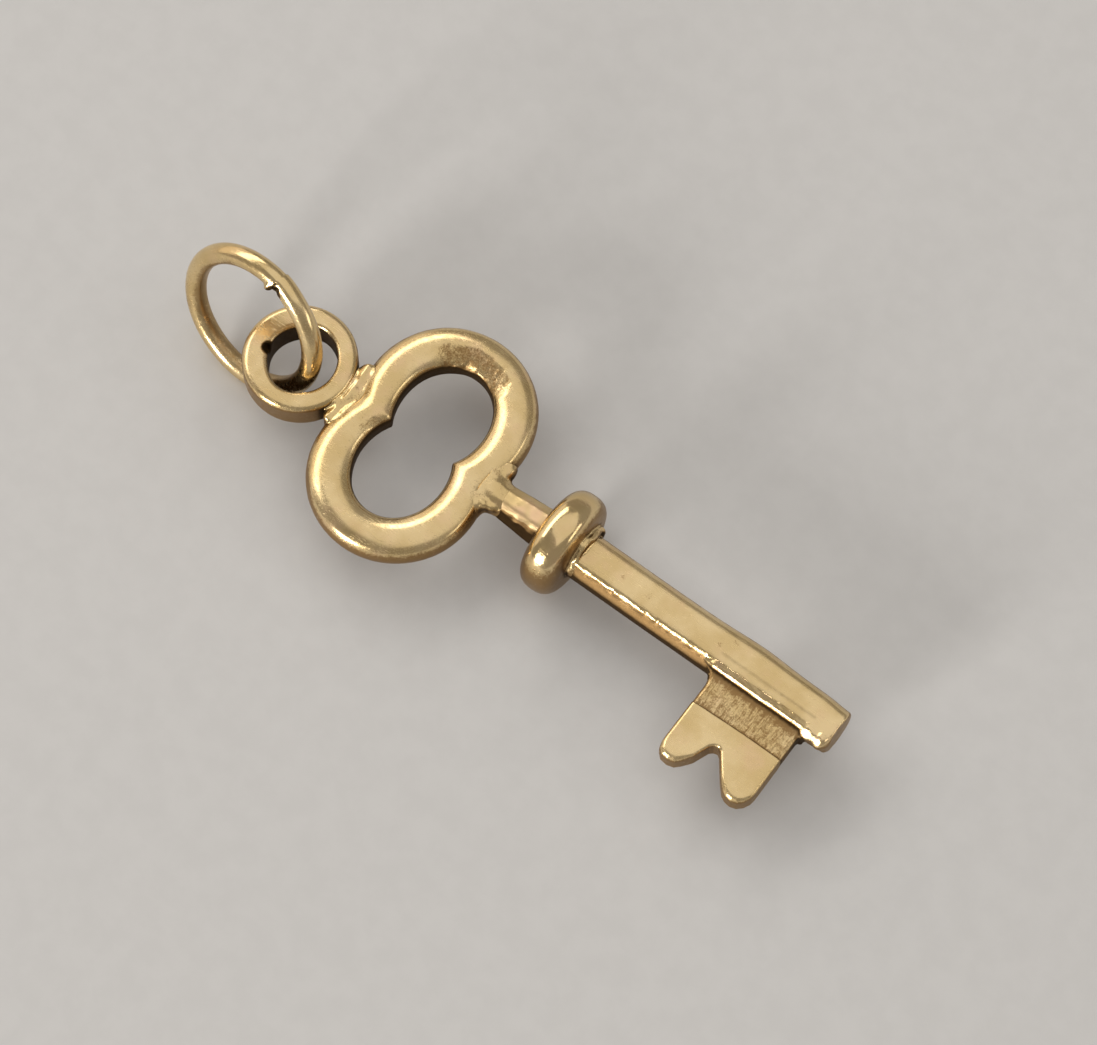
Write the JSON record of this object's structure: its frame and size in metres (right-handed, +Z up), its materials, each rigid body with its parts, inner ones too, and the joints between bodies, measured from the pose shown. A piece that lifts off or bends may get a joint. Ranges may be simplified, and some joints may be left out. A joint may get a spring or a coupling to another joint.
{
  "type": "key charm",
  "caption": "Small gold key-shaped charm: bow with a figure-eight hole, bead collar, round shank and notched bit, with a hanging loop and a loose jump ring.",
  "frame": {"origin": "middle of the bounding box on its lowest level, with the charm lying flat on its side", "axes": "+X along the key from the jump ring to the tip of the shank, -Y the way the bit points, +Z up out of the surface it lies on"},
  "size_m": [0.0306, 0.01, 0.0062],
  "materials": {
    "wire_gold": "drawn and polished yellow gold wire",
    "polished_gold": "hand-polished yellow gold with fine wear scratches",
    "filed_gold": "filed and lightly buffed yellow gold",
    "solder_gold": "uneven gold hard solder, darkened in the hollows"
  },
  "bodies": {
    "key": {"hanging_loop": "polished_gold", "loop_solder": "solder_gold", "bow": "polished_gold", "bow_solder": "solder_gold", "neck": "filed_gold", "collar": "polished_gold", "collar_solder": "solder_gold", "shank": "polished_gold", "bit": "filed_gold", "bit_solder": "solder_gold"},
    "ring": {"jump_ring": "wire_gold"}
  },
  "joints": [
    {"name": "ring_flop", "type": "hinge", "parent": "key", "child": "ring", "pos_m": [-0.00972, -0.00076, 0.00233], "axis": [1, 0, 0], "range_deg": [0, 50]}
  ]
}
